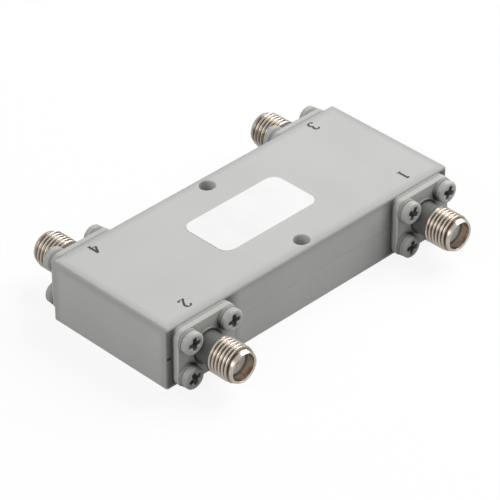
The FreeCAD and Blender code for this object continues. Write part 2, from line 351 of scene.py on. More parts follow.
def enamel(tree, paint):
    """The colour, roughness and bump height of the paint, and the place they were worked out from."""
    plain, shade, worn = paint
    point, x, y, z = tree.place()
    drift = tree.noise(point, DRIFT_SIZE, detail=3.0)
    peel = tree.noise(point, PEEL_SIZE, detail=2.0, roughness=0.6)
    specks = tree.noise(point, SPECK_SIZE, detail=1.0)
    colour = tree.mix(drift.rises(0.3, 0.7) * 0.35, plain, shade)
    colour = tree.mix(peel.rises(0.55, 0.8) * 0.18, colour, worn)
    roughness = 0.54 + drift * 0.1 + specks * 0.08
    height = peel * 0.75 + specks * 0.25
    return colour, roughness, height, (point, x, y, z)


print("the paint's blotches, peel and specks in mm", DRIFT_SIZE, PEEL_SIZE, SPECK_SIZE)

# %% [markdown]
# ## The block's paint
# On the block the paint is darker in the seam, a dark joint. Painted shade darkens it along the outer
# edges, and the flanges' shadows are painted beside the flanges. Two shallow marks lie on top, and a short
# dark notch lies in the seam beside one jack. Each is a mask worked out from the point's place, so nothing
# has to be unwrapped or painted by hand. The two halves have their true shape in the frame, so they only
# get this finish.

# %% Paint the block
BLOCK_PAINT = (tone(198, 198, 196), tone(188, 188, 186), tone(208, 208, 205))
# Painted shade for the block's outer edges.
RIM_SHADE = tone(158, 158, 155)
# Dark for painted shade and painted shadows, and for the crack in the seam.
PAINTED_SHADE_AND_CRACK = tone(34, 34, 32)
RIM_WIDTH = 2.0
SHADOW_REACH = 2.9
BLOCK_SHEEN = 0.22
TOP_MARKS = ((15.1, -7.4), (-16.7, 6.5))
MARK_RADIUS = 0.45
NOTCH_X = -31.0
NOTCH_HALF_LENGTH = 0.45


def block_paint():
    tree = finish_tree("grey enamel on the block")
    colour, roughness, height, (point, x, y, z) = enamel(tree, BLOCK_PAINT)
    seam = abs(z - seam_z).falls(0.03, 0.16)
    colour = tree.mix(seam * 0.12, colour, BLOCK_PAINT[1])
    edge_x = abs(x) - block_high.x
    edge_y = abs(y) - block_high.y
    edge_z = z - block_high.z
    rim = edge_x.at_most(edge_z).at_least(edge_y.at_most(edge_z)).at_least(edge_x.at_most(edge_y))
    # Painted shade along the outer edges.
    colour = tree.mix(rim.rises(-RIM_WIDTH, -0.1) * 0.45, colour, RIM_SHADE)
    # The flanges' shadows, painted on the block's sides beside them.
    beside = abs(abs(x) - port_x) - flange_width / 2
    level = abs(z - port_z).falls(flange_height / 2 - 0.3, flange_height / 2 + 0.2)
    on_side = abs(y).rises(half_width - 0.3, half_width - 0.05)
    shadow = beside.falls(-0.6, SHADOW_REACH) * level * on_side
    colour = tree.mix(shadow * 0.7, colour, PAINTED_SHADE_AND_CRACK)
    along = abs(x - NOTCH_X).falls(NOTCH_HALF_LENGTH * 0.6, NOTCH_HALF_LENGTH)
    notch = along * abs(z - seam_z).falls(0.12, 0.28) * y.falls(-half_width + 0.1, -half_width + 0.3)
    colour = tree.mix(notch * 0.95, colour, PAINTED_SHADE_AND_CRACK)
    on_top = z.rises(seam_z, block_high.z)
    for mark_x, mark_y in TOP_MARKS:
        mark = length(x - mark_x, y - mark_y).falls(MARK_RADIUS * 0.3, MARK_RADIUS) * on_top
        height = height + mark * 2.0
    return tree.surface(
        base_color=colour,
        roughness=roughness,
        specular_ior_level=BLOCK_SHEEN,
        normal=tree.bump(height - notch * 3.0, PAINT_BUMP),
    )


def dress(material, nodes):
    """Gives one finish to solids that keep their shape from the frame."""
    for node in nodes:
        mesh = frame["nodes"][node].data
        mesh.materials.clear()
        mesh.materials.append(material)
    print(material.name, "on", len(nodes), "solids")


dress(block_paint(), ["base_half", "cover_half"])

# %% [markdown]
# ## The jacks' paint
# Only the threads were masked when the block was sprayed, so the flange and the neck are grey too. Painted
# shade darkens the neck, the rims of the washers, the places between barrel and screws and the neck's foot,
# less so below the barrel. The joint with the gasket is a dark line at the sides, partly painted shade. At
# both sides the flange's front edge carries a painted highlight. Painting a picture for each jack would be
# another way, but masks worked out once suit all four. Here side and level are a point's place across and
# above the jack's axis.

# %% Paint on the flange and the neck
JACK_PAINT = (tone(190, 191, 187), tone(174, 175, 171), tone(208, 209, 205))
# Painted shade for the neck, round the washers and in the joint.
NECK_SHADE = tone(94, 95, 92)
# A painted highlight for edges that face the lamps.
PAINTED_HIGHLIGHT = tone(226, 227, 223)
NECK_RADIUS = 2.72
RIDGE_RADIUS = 3.13
# How far from a jack's axis the barrel's painted shade reaches.
PAINTED_SHADE_FROM = 3.6
PAINTED_SHADE_TO = 5.2


def jack_enamel(tree, colour, q, side, level, radius):
    """The enamel's colour on a jack, with painted shade and a painted highlight on the flange's edge."""
    outside = q.rises(flange_front - 0.1, flange_front + 0.1)
    # The neck, where shade is painted on.
    on_barrel = radius.falls(RIDGE_RADIUS - 0.15, RIDGE_RADIUS - 0.03)
    neck = outside * on_barrel.at_least(q.rises(flange_front + 0.4, flange_front + 0.6))
    # Painted shade round the neck on the flange, weaker below the barrel.
    less_below = 0.4 - level.falls(-3.0, 0.0) * 0.3
    apron = outside * radius.falls(RIDGE_RADIUS + 0.2, RIDGE_RADIUS + 1.6) * less_below
    # Painted shade round the washers, deepest between barrel and screws.
    from_screw = length(abs(side) - screw_reach_x, abs(level) - screw_reach_z)
    between = radius.falls(PAINTED_SHADE_FROM, PAINTED_SHADE_TO)
    washer_line = outside * from_screw.falls(HEAD_RADIUS + 0.1, HEAD_RADIUS + 0.6) * (0.45 + between * 0.55)
    # A dark joint at the sides, partly painted shade.
    at_side = abs(side).rises(flange_width / 2 - 0.6, flange_width / 2 - 0.1)
    joint = q.falls(flange_back, flange_back + 0.12) * at_side
    colour = tree.mix(apron.at_least(joint * 0.8), colour, NECK_SHADE)
    colour = tree.mix((neck * 0.72).at_least(washer_line * 0.85), colour, NECK_SHADE)
    # A painted highlight on the flange's front edge at both sides.
    near_front = q.rises(flange_front - 0.35, flange_front - 0.15)
    front_edge = near_front * q.falls(flange_front - 0.04, flange_front)
    edge_highlight = front_edge * abs(side).rises(flange_width / 2 - 0.4, flange_width / 2 - 0.1)
    colour = tree.mix(edge_highlight * 0.7, colour, PAINTED_HIGHLIGHT)
    # Painted shade in the crease at the neck's foot.
    at_foot = q.falls(flange_front + 0.12, flange_front + 0.35)
    foot = outside * radius.falls(NECK_RADIUS + 0.2, NECK_RADIUS + 0.35) * at_foot
    return tree.mix(foot * 0.75, colour, PAINTED_SHADE_AND_CRACK)


print("painted neck", round(2 * NECK_RADIUS, 2), "mm wide, ridge of paint", round(2 * RIDGE_RADIUS, 2))

# %% [markdown]
# ## Bare metal on the thread, the nose and in the mouth
# The bare metal has a warm colour. Painted shade makes it darker and browner in the grooves than on the
# crests, and darkens the mouth's floor. A faint gold glint painted low on the mouth's wall stands for the
# contact mirrored in it. The jack is one piece of metal, so one material holds both finishes: a mask
# follows the distance outwards from the block, and its border wavers a little and lies further out under
# the barrel.

# %% Bare metal, and where the paint ends
METAL = tone(222, 213, 203)
# Painted shade for the grooves.
METAL_GROOVE = tone(138, 126, 111)
METAL_MOUTH = tone(214, 198, 184)
METAL_GLINT = tone(176, 128, 88)
# Painted shade for the mouth's floor.
MOUTH_FLOOR_SHADE = tone(104, 102, 100)
METAL_ROUGHNESS = 0.21
TURNING_MARKS = 30.0
BARE_FROM = 4.95
BARE_EARLIER_AT_BACK = 0.35
GROOVE_FLOOR = 0.36
MOUTH_MARGIN = 0.02


def jack_bare_metal(tree, point, q, level, radius):
    """The bare metal's colour on the thread, the nose and in the mouth, with painted shade and a painted
    glint.
    """
    crest = radius.rises(thread_radius - GROOVE_FLOOR, thread_radius - 0.06)
    nose = q.rises(groove_end - 0.1, groove_end + 0.1)
    inside = radius.falls(mouth_radius + MOUTH_MARGIN, mouth_radius + MOUTH_MARGIN + 0.05)
    # The grooves painted darker and browner, as shade.
    metal = tree.mix(crest.at_least(nose), METAL_GROOVE, METAL)
    metal = tree.mix(inside, metal, METAL_MOUTH)
    on_wall = inside * q.rises(mouth_floor + 0.15, mouth_floor + 0.3)
    glint = tree.noise(point, 0.8, detail=2.0).rises(0.48, 0.7) * on_wall * level.falls(-0.6, 0.6)
    metal = tree.mix(glint * 0.6, metal, METAL_GLINT)
    # Painted shade on the mouth's floor.
    metal = tree.mix((inside - on_wall) * 0.8, metal, MOUTH_FLOOR_SHADE)
    stain = tree.noise(point, 0.9, detail=4.0).rises(0.5, 0.8)
    return tree.mix(stain * 0.25, metal, METAL_GROOVE)


def jack_finish():
    tree = finish_tree("enamel and bare metal on the jacks")
    colour, paint_roughness, height, (point, x, y, z) = enamel(tree, JACK_PAINT)
    q = abs(y) - half_width
    side = abs(x) - port_x
    level = z - port_z
    radius = length(side, level)
    painted = jack_enamel(tree, colour, q, side, level, radius)
    metal = jack_bare_metal(tree, point, q, level, radius)
    wander = tree.noise(point, 1.1, detail=3.0) - 0.5
    border = BARE_FROM - y.rises(-1.0, 1.0) * BARE_EARLIER_AT_BACK - level * 0.05 + wander * 0.4
    bare = (q - border).rises(-0.04, 0.06)
    across_marks = tree.node("CombineXYZ", sockets={0: q * TURNING_MARKS, 1: radius * TURNING_MARKS, 2: 0.0})
    turning = tree.noise(across_marks, 1.0)
    metal_roughness = METAL_ROUGHNESS + turning * 0.12
    return tree.surface(
        base_color=tree.mix(bare, painted, metal),
        metallic=bare,
        roughness=tree.blend(bare, paint_roughness, metal_roughness),
        normal=tree.bump(tree.blend(bare, height, turning * 0.15), PAINT_BUMP),
    )


jack_material = jack_finish()

# %% [markdown]
# ## The thread
# The thread has 36 turns to the inch, and the groove of this family of threads is 0.613 of its pitch
# deep. A bump could only shade the turns, and the barrel's outline would stay straight, so they are real
# here. Each mesh line keeps its place on the crest, the flank or the root and winds as a right hand
# helix, so that the crests shine as unbroken lines. The form is a list of pairs: a share of the pitch,
# and how much of the depth is cut there. Its crests are rounder than the standard's, because that looks
# nearer to the photo. The groove fades out where the neck and the nose begin.

# %% Wind the thread
THREAD_PITCH = 25.4 / 36
THREAD_DEPTH = 0.613 * THREAD_PITCH
THREAD_FORM = (
    (0.0, 0.0), (0.06, 0.015), (0.12, 0.08), (0.2, 0.26), (0.36, 0.83), (0.425, 0.96),
    (0.5, 1.0), (0.575, 0.96), (0.64, 0.83), (0.8, 0.26), (0.88, 0.08), (0.94, 0.015),
)
THREAD_RUN_IN = 0.3
THREAD_RUN_OUT = 0.2
NOSE_RADIUS = 2.65


def outer_radius(q):
    """The barrel's radius over the crests, with the nose's taper."""
    if q <= thread_to:
        return thread_radius
    share = (q - thread_to) / (barrel_tip - thread_to)
    return thread_radius + (NOSE_RADIUS - thread_radius) * share


def add_thread(piece, first, last):
    """Winds the thread between the ring where it starts and the ring where it ends."""
    lines = len(THREAD_FORM)
    angles = [TURN * i / RING for i in range(RING)]
    laid = {}

    def vertex(line, i):
        if i == RING:
            line, i = line - lines, 0
        turn, station = divmod(line, lines)
        along, depth = THREAD_FORM[station]
        q = (turn + along - angles[i] / TURN) * THREAD_PITCH
        if q <= thread_from:
            return first[i]
        if q >= groove_end:
            return last[i]
        if (line, i) not in laid:
            fade = min(1.0, (q - thread_from) / THREAD_RUN_IN, (groove_end - q) / THREAD_RUN_OUT)
            radius = outer_radius(q) - THREAD_DEPTH * depth * fade
            point = (radius * math.cos(angles[i]), q, radius * math.sin(angles[i]))
            laid[line, i] = piece.bm.verts.new(piece.place(*point))
        return laid[line, i]

    lowest = int(thread_from / THREAD_PITCH) * lines - 1
    highest = int(groove_end / THREAD_PITCH + 2) * lines + 1
    for i in range(RING):
        for line in range(lowest, highest):
            around = (vertex(line, i), vertex(line + 1, i), vertex(line + 1, i + 1), vertex(line, i + 1))
            corners = list(dict.fromkeys(around))
            if len(corners) > 2:
                piece.bm.faces.new(corners)


print("thread pitch", round(THREAD_PITCH, 3), "depth", round(THREAD_DEPTH, 3))

# %% [markdown]
# ## The flange
# The flange is a milled plate with round corners, softly rounded edges and four screw holes. Its outline
# is laid several times, a little smaller each time, to round the edge. The gasket behind it has the same
# outline and the same holes, so both use these helpers.

# %% The flange's outline, edges and holes
FLANGE_CORNER = 1.5
FLANGE_EDGE = 0.2
FLANGE_BACK_EDGE = 0.05
EDGE_STEPS = 5
SCREW_HOLE = 1.15
HOLE_COUNT = 40


def flange_outline(inset, q, steps=8):
    """The flange's rounded rectangle, drawn in by an inset."""
    half_x = flange_width / 2 - FLANGE_CORNER
    half_z = flange_height / 2 - FLANGE_CORNER
    corner = FLANGE_CORNER - inset
    points = []
    for quarter, (sx, sz) in enumerate(((1, 1), (-1, 1), (-1, -1), (1, -1))):
        for step in range(steps + 1):
            angle = TURN / 4 * (quarter + step / steps)
            x = sx * half_x + corner * math.cos(angle)
            z = sz * half_z + corner * math.sin(angle)
            points.append((x, q, z))
    return points


def flange_rim():
    """Outlines from the flange's back edge to its rounded front edge."""
    rim = [flange_outline(FLANGE_BACK_EDGE, flange_back)]
    rim.append(flange_outline(0.0, flange_back + FLANGE_BACK_EDGE))
    for step in range(EDGE_STEPS + 1):
        angle = TURN / 4 * step / EDGE_STEPS
        inset = FLANGE_EDGE * (1 - math.cos(angle))
        rim.append(flange_outline(inset, flange_front - FLANGE_EDGE * (1 - math.sin(angle))))
    return rim


def screw_places():
    """The four screws of a flange, as (x, z) from the jack's axis."""
    return [(sx * screw_reach_x, sz * screw_reach_z) for sz in (1, -1) for sx in (-1, 1)]


def add_holes(piece, back_q, front_q):
    """Lays the walls of the four screw holes. Returns their back rings and their front rings."""
    back_holes = []
    front_holes = []
    for x, z in screw_places():
        wall = [circle(SCREW_HOLE, q, x, z, HOLE_COUNT) for q in (back_q, front_q)]
        back_hole, front_hole = piece.stack(wall)
        back_holes.append(back_hole)
        front_holes.append(front_hole)
    return back_holes, front_holes


print("screws", round(2 * screw_reach_x, 2), "by", round(2 * screw_reach_z, 2), "mm apart")

# %% [markdown]
# ## The jack in one piece
# The real jack is turned and milled from one bar, so it is one closed mesh here. The barrel is a stack of
# rings, listed as a turner works, by radius and distance: a low ridge of paint round the foot, the
# thinner neck, the thread, the nose, and back in through the mouth to the bore. The flat faces between
# the barrel, the holes and the flange's edges close it.

# %% Model the jacks
RIDGE_HALF_WIDTH = 0.17
RIDGE_HEIGHT = 0.2
RIDGE_STEPS = 8
TIP_BEVEL = 0.12
MOUTH_BEVEL = 0.15
SLEEVE_BORE = 2.07


def neck_profile():
    """The ridge of paint and the neck, as (radius, q) from the flange to the thread."""
    profile = [(RIDGE_RADIUS + RIDGE_HALF_WIDTH + 0.02, flange_front)]
    for step in range(RIDGE_STEPS + 1):
        angle = TURN / 2 * step / RIDGE_STEPS
        ridge_q = flange_front + 0.03 + RIDGE_HEIGHT * math.sin(angle)
        profile.append((RIDGE_RADIUS + RIDGE_HALF_WIDTH * math.cos(angle), ridge_q))
    return profile + [
        (NECK_RADIUS + 0.1, flange_front + 0.05),
        (NECK_RADIUS, flange_front + 0.15),
        (NECK_RADIUS, thread_from - 0.55),
        (NECK_RADIUS + 0.06, thread_from - 0.4),
        (thread_radius - 0.12, thread_from - 0.12),
        (thread_radius, thread_from),
    ]


def mouth_profile():
    """The nose, the mouth and the bore, as (radius, q) from the thread's end to the flange's back."""
    return [
        (outer_radius(groove_end), groove_end),
        (outer_radius(barrel_tip - TIP_BEVEL), barrel_tip - TIP_BEVEL),
        (outer_radius(barrel_tip) - 0.03, barrel_tip),
        (mouth_radius + MOUTH_BEVEL, barrel_tip),
        (mouth_radius, barrel_tip - MOUTH_BEVEL),
        (mouth_radius, mouth_floor + 0.05),
        (mouth_radius - 0.05, mouth_floor),
        (SLEEVE_BORE, mouth_floor),
        (SLEEVE_BORE, flange_back),
    ]


def model_jack(name):
    piece = Piece(f"{name}_jack", at_port(*PORTS[name]))
    foot, thread_start = piece.stack([circle(radius, q) for radius, q in neck_profile()])
    thread_end, bore = piece.stack([circle(radius, q) for radius, q in mouth_profile()])
    add_thread(piece, thread_start, thread_end)
    back_edge, front_edge = piece.stack(flange_rim())
    back_holes, front_holes = add_holes(piece, flange_back, flange_front)
    piece.fill(front_edge, foot, *front_holes)
    piece.fill(back_edge, bore, *back_holes)
    return piece.finish()


for port in PORTS:
    jack = model_jack(port)
    jack.data.materials.append(jack_material)
    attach(jack, "root")
    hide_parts(f"{port}_jack_shell")

# %% [markdown]
# ## The flange screws
# Sixteen small pan head screws hold the jacks. They were sprayed over with the block, so their edges are
# soft. A cross slot is four arms with round ends and round inner corners that taper down to a small
# floor. So its walls are rings too: the same outline, drawn smaller as it goes down, and no cutting is
# needed. Each slot is turned as its screw was left.

# %% The outline of a cross slot, and one screw
HEAD_WALL = 0.86
HEAD_FLAT = 1.4
HEAD_FOOT_BEVEL = 0.08
HEAD_COUNT = 64
DOME_STEPS = 7
SHANK_RADIUS = 1.0
SHANK_BEVEL = 0.15
SLOT_REACH = 1.28
SLOT_HALF_WIDTH = 0.45
SLOT_FLOOR_REACH = 0.5
SLOT_FLOOR_SHARE = 0.6
SLOT_DEPTH = 0.9
SLOT_LIP = 0.06
SLOT_CORNER = 0.14
ARM_END_SHARE = 0.7


def cross_outline(reach, half_arm, steps=3):
    """A cross as (u, v) points: from one arm's end by the inner corner to the next arm's end, four times."""
    end_round = half_arm * ARM_END_SHARE
    inner = half_arm + SLOT_CORNER
    arm_end = []
    inner_corner = []
    for step in range(steps + 1):
        angle = TURN / 4 * step / steps
        arm_end.append((
            reach - end_round + end_round * math.cos(angle),
            half_arm - end_round + end_round * math.sin(angle),
        ))
        inner_corner.append((inner - SLOT_CORNER * math.sin(angle), inner - SLOT_CORNER * math.cos(angle)))
    quarter = arm_end + inner_corner + [(v, u) for u, v in reversed(arm_end)]
    points = []
    for cos_turn, sin_turn in ((1, 0), (0, 1), (-1, 0), (0, -1)):
        points += [(u * cos_turn - v * sin_turn, u * sin_turn + v * cos_turn) for u, v in quarter]
    return points


def slot_ring(x, z, degrees, q, reach, half_arm):
    """A cross outline at a depth in the head, turned by so many degrees."""
    angle = math.radians(degrees)
    ring = []
    for u, v in cross_outline(reach, half_arm):
        turned_u = u * math.cos(angle) - v * math.sin(angle)
        turned_v = u * math.sin(angle) + v * math.cos(angle)
        ring.append((x + turned_u, q, z + turned_v))
    return ring


def add_screw(piece, x, z, degrees):
    """One screw, from the shank's end over the domed head to the floor of its slot."""

    def ring(radius, q):
        return circle(radius, q, x, z, HEAD_COUNT)

    wall_top = washer_face + HEAD_WALL
    body = [
        ring(SHANK_RADIUS - SHANK_BEVEL, screw_foot),
        ring(SHANK_RADIUS, screw_foot + SHANK_BEVEL),
        ring(SHANK_RADIUS, washer_face),
        ring(HEAD_RADIUS - HEAD_FOOT_BEVEL, washer_face),
        ring(HEAD_RADIUS, washer_face + HEAD_FOOT_BEVEL),
        ring(HEAD_RADIUS, wall_top),
    ]
    for step in range(1, DOME_STEPS + 1):
        angle = TURN / 4 * step / DOME_STEPS
        radius = HEAD_FLAT + (HEAD_RADIUS - HEAD_FLAT) * math.cos(angle)
        body.append(ring(radius, wall_top + (head_top - wall_top) * math.sin(angle)))
    slot = [
        (0.0, SLOT_REACH + SLOT_LIP, SLOT_HALF_WIDTH + SLOT_LIP),
        (0.3 * SLOT_LIP, SLOT_REACH + 0.4 * SLOT_LIP, SLOT_HALF_WIDTH + 0.4 * SLOT_LIP),
        (SLOT_LIP, SLOT_REACH, SLOT_HALF_WIDTH),
        (SLOT_DEPTH, SLOT_FLOOR_REACH, SLOT_HALF_WIDTH * SLOT_FLOOR_SHARE),
    ]
    foot, flat = piece.stack(body)
    piece.fill(foot)
    walls = [slot_ring(x, z, degrees, head_top - depth, reach, arm) for depth, reach, arm in slot]
    mouth, floor = piece.stack(walls)
    piece.fill(flat, mouth)
    piece.fill(floor)


print("screw head", 2 * HEAD_RADIUS, "mm wide,", round(head_top - washer_face, 2), "mm high")

# %% [markdown]
# ## The screws' paint
# The screws' coat is lumpier and less rough than the block's. Painted shade darkens the inside of the
# slots. The upper screws' edges carry a painted highlight, and the barrel's shadow is painted on the lower
# screws and on the sides that face the barrel. One material does all sixteen, as every mask follows the
# distance from the nearest screw or jack.

# %% Paint and place the screws
SCREW_ROUGHNESS_SHARE = 0.6
SCREW_LUMPS = 10.0
SLOT_TURNS = {
    "port1": (24, 28, 20, 7),
    "port2": (87, 88, 70, 72),
    "port3": (27, 66, 8, 49),
    "port4": (70, 38, 15, 55),
}


def screw_paint():
    tree = finish_tree("enamel on the screws")
    colour, roughness, height, (point, x, y, z) = enamel(tree, JACK_PAINT)
    from_axis = length(abs(abs(x) - port_x) - screw_reach_x, abs(z - port_z) - screw_reach_z)
    depth = head_top - (abs(y) - half_width)
    # Painted shade inside the slot.
    slot = depth.rises(0.03, 0.25) * from_axis.falls(HEAD_FLAT - 0.12, HEAD_FLAT - 0.04)
    colour = tree.mix(slot * 0.88, colour, PAINTED_SHADE_AND_CRACK)
    # A painted highlight on the upper screws' rims.
    rim_highlight = depth.falls(0.1, 0.22) * from_axis.rises(HEAD_FLAT - 0.1, HEAD_FLAT + 0.1)
    lower = z.falls(port_z - 2.0, port_z)
    colour = tree.mix(rim_highlight * (1 - lower) * 0.2, colour, PAINTED_HIGHLIGHT)
    # The barrel's shadow painted on the lower screws and on the walls that face the barrel.
    between = from_jack_axis(x, z).falls(PAINTED_SHADE_FROM, PAINTED_SHADE_TO)
    colour = tree.mix(lower * (0.12 + between * 0.3), colour, PAINTED_SHADE_AND_CRACK)
    colour = tree.mix(between * depth.rises(0.2, 0.7) * 0.6, colour, PAINTED_SHADE_AND_CRACK)
    lumps = tree.noise(point, 0.9, detail=2.0)
    return tree.surface(
        base_color=colour,
        roughness=roughness * SCREW_ROUGHNESS_SHARE,
        normal=tree.bump(height + lumps * SCREW_LUMPS, PAINT_BUMP),
    )


screw_material = screw_paint()
for port in PORTS:
    screws = Piece(f"{port}_screws", at_port(*PORTS[port]))
    for (place_x, place_z), slot_degrees in zip(screw_places(), SLOT_TURNS[port]):
        add_screw(screws, place_x, place_z, slot_degrees)
    made = screws.finish()
    made.data.materials.append(screw_material)
    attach(made, "root")
    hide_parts(f"{port}_flange_screws")

# %% [markdown]
# ## The gaskets
# A thin dark gasket lies between each flange and the block, cut a little smaller than the flange. It
# shows as a set back dark line at the sides, where its joints are partly painted shade. Along the top the
# spray has bridged the gap, so there the layer is flush with the flange, and light from above is painted
# on it, almost as light as the block. A mesh of its own shows both, as the solid is set back all round.

# %% Model the gaskets
LAYER = tone(138, 139, 136)
LAYER_MOTTLE = tone(112, 113, 110)
# Dark joints, partly painted shade.
LAYER_JOINT_SHADE = tone(46, 46, 45)
# Painted light for the top.
LAYER_LIT_TOP = tone(168, 168, 165)


def gasket_rubber():
    tree = finish_tree("dark gasket with overspray")
    point, x, y, z = tree.place()
    spray = tree.noise(point, 0.35, detail=3.0).rises(0.4, 0.7)
    q = abs(y) - half_width
    middle = flange_back / 2
    joint = abs(q - middle).rises(middle * 0.5, middle)
    on_top = z.rises(port_z + flange_height / 2 - 0.7, port_z + flange_height / 2 - 0.2)
    colour = tree.mix(spray * 0.3, LAYER, LAYER_MOTTLE)
    # Dark joints at the sides, partly painted shade, and none along the top.
    colour = tree.mix(joint * (1 - on_top) * 0.85, colour, LAYER_JOINT_SHADE)
    # Painted light along the top, which faces the lamps.
    colour = tree.mix(on_top * 0.85, colour, LAYER_LIT_TOP)
    return tree.surface(base_color=colour, roughness=0.6 + spray * 0.15, normal=tree.bump(spray, 0.01))


def gasket_outline(q):
    """The flange's outline, drawn in by the gasket's inset but flush along the top."""
    inset = (flange_width - (gasket_high.x - gasket_low.x)) / 2
    return [(x, level_q, z + inset if z > 0 else z) for x, level_q, z in flange_outline(inset, q)]


def model_gasket(name):
    piece = Piece(f"{name}_layer", at_port(*PORTS[name]))
    back_edge, front_edge = piece.stack([gasket_outline(0.0), gasket_outline(flange_back)])
    back_bore, front_bore = piece.stack([circle(SLEEVE_BORE, 0.0), circle(SLEEVE_BORE, flange_back)])
    back_holes, front_holes = add_holes(piece, 0.0, flange_back)
    piece.fill(back_edge, back_bore, *back_holes)
    piece.fill(front_edge, front_bore, *front_holes)
    return piece.finish()


gasket_material = gasket_rubber()
for port in PORTS:
    gasket = model_gasket(port)
    gasket.data.materials.append(gasket_material)
    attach(gasket, "root")
    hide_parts(f"{port}_gasket")

# %% [markdown]
# ## Washers, sleeves and contacts
# Split washers lie under the screw heads, darkened by painted shade. At the floor of each mouth sits a
# waxy white sleeve round a gold plated contact. All could be modelled anew, but their solids have the
# true shape, so each only gets a small material of its own.

# %% Finish what shows at the jacks
def washer_paint():
    tree = finish_tree("thin enamel on the washers")
    colour, roughness, height, (point, x, y, z) = enamel(tree, JACK_PAINT)
    between = from_jack_axis(x, z).falls(PAINTED_SHADE_FROM, PAINTED_SHADE_TO)
    # Painted shade on the washers, deepest between barrel and screws.
    colour = tree.mix(0.35 + between * 0.6, colour, PAINTED_SHADE_AND_CRACK)
    return tree.surface(base_color=colour, roughness=roughness, normal=tree.bump(height, PAINT_BUMP))


def white_sleeve():
    tree = finish_tree("waxy white sleeve")
    point, x, y, z = tree.place()
    cloud = tree.noise(point, 0.8, detail=3.0)
    lathe = tree.noise(point, 0.12, detail=2.0)
    colour = tree.mix(cloud.rises(0.35, 0.75), tone(236, 235, 231), tone(222, 220, 213))
    return tree.surface(base_color=colour, roughness=0.36 + cloud * 0.12, normal=tree.bump(lathe, 0.006))


def gold_contact():
    tree = finish_tree("gold plated contact")
    point, x, y, z = tree.place()
    cloud = tree.noise(point, 0.5, detail=3.0)
    colour = tree.mix(cloud, tone(238, 196, 110), tone(205, 156, 78))
    return tree.surface(base_color=colour, metallic=1.0, roughness=0.18 + cloud * 0.16)


dress(washer_paint(), [f"{port}_lock_washers" for port in PORTS])
dress(white_sleeve(), [f"{port}_insulator" for port in PORTS])
dress(gold_contact(), [f"{port}_contact" for port in PORTS])

# %% [markdown]
# ## Inside the block
# Two thick boards of woven laminate with a film between them and two etched copper strips lie inside, and
# only show when the cover is lifted off. The zinc plated screws that hold the halves together show from
# below. Plain colours would do for hidden parts, but the model may be opened, so they are finished too.

# %% Finish what lies inside, and the cover screws
def zinc_screw():
    tree = finish_tree("zinc plated cover screws")
    point, x, y, z = tree.place()
    cloud = tree.noise(point, 0.9, detail=4.0)
    scratch = tree.noise(tree.node("CombineXYZ", sockets={0: x * 8.0, 1: y * 0.6, 2: z}), 0.5, detail=3.0)
    colour = tree.mix(cloud, tone(196, 198, 202), tone(166, 168, 170))
    return tree.surface(base_color=colour, metallic=1.0, roughness=0.3 + scratch * 0.2)


def board_laminate():
    tree = finish_tree("strip line laminate")
    point, x, y, z = tree.place()
    weave_x = (x * 9.0).maths("SINE")
    weave_y = (y * 9.0).maths("SINE")
    weave = weave_x * weave_y * 0.5 + 0.5
    colour = tree.mix(weave * 0.5, tone(214, 203, 172), tone(196, 184, 150))
    return tree.surface(base_color=colour, roughness=0.5 + weave * 0.1, normal=tree.bump(weave, 0.01))


def strip_copper():
    tree = finish_tree("etched copper")
    point, x, y, z = tree.place()
    cloud = tree.noise(point, 1.8, detail=5.0)
    colour = tree.mix(cloud, tone(222, 150, 112), tone(172, 104, 70))
    return tree.surface(base_color=colour, metallic=1.0, roughness=0.28 + cloud * 0.25)


dress(board_laminate(), ["lower_board", "upper_board", "centre_film"])
dress(strip_copper(), ["lower_strip", "upper_strip"])
dress(zinc_screw(), ["cover_screws"])

# %% [markdown]
# ## The label
# The label is a thin white film stuck on the cover. It is smoother and whiter than the paint round it,
# and it is left blank. Its solid in the frame is a real thin plate, so no picture has to be laid on the
# cover.

# %% Finish the label
def label_film():
    tree = finish_tree("white label film")
    point, x, y, z = tree.place()
    pulp = tree.noise(point, 0.4, detail=3.0)
    cloud = tree.noise(point, 6.0, detail=2.0)
    colour = tree.mix(cloud.rises(0.3, 0.7) * 0.5, tone(244, 245, 244), tone(238, 239, 237))
    return tree.surface(base_color=colour, roughness=0.38 + pulp * 0.08, normal=tree.bump(pulp, 0.004))


dress(label_film(), ["label"])

# %% [markdown]
# ## The port numerals
# Each port is marked in dark print, which reads from the output side. A font could be used, but a numeral
# is drawn here as a broad pen would: a middle line of arcs and straights, thick where the pen runs up or
# down and thin where it runs across. The ink is a film far thinner than a hair, just proud of the paint.
# Each stroke is a little thicker than the one before, so that no two share a face where they cross.

# %% Draw the numerals
NUMERAL_HEIGHT = 2.25
NUMERAL_MIDDLE = (0.3, 0.5)
INK_THICKNESS = 0.012
THICKER_BY_STROKE = 0.1
PEN_THICK = 0.19
PEN_THIN = 0.075


def arc_line(centre_u, centre_v, radius_u, radius_v, first, last, steps=20):
    """Points along part of an oval, by angles in degrees."""
    points = []
    for step in range(steps + 1):
        angle = math.radians(first + (last - first) * step / steps)
        points.append((centre_u + radius_u * math.cos(angle), centre_v + radius_v * math.sin(angle)))
    return points


NUMERALS = {
    "1": [[(0.14, 0.86), (0.3, 0.97)], [(0.31, 1.0), (0.31, 0.03)], [(0.12, 0.025), (0.5, 0.025)]],
    "2": [
        arc_line(0.3, 0.72, 0.22, 0.26, 165, -35) + [(0.28, 0.26), (0.08, 0.06)],
        [(0.06, 0.05), (0.55, 0.05)],
        [(0.53, 0.04), (0.57, 0.2)],
    ],
    "3": [
        arc_line(0.28, 0.76, 0.19, 0.22, 160, -80),
        arc_line(0.27, 0.27, 0.24, 0.26, 80, -160),
    ],
    "4": [
        [(0.42, 0.98), (0.03, 0.3)],
        [(0.03, 0.29), (0.6, 0.29)],
        [(0.42, 1.0), (0.42, 0.03)],
        [(0.28, 0.025), (0.56, 0.025)],
    ],
}


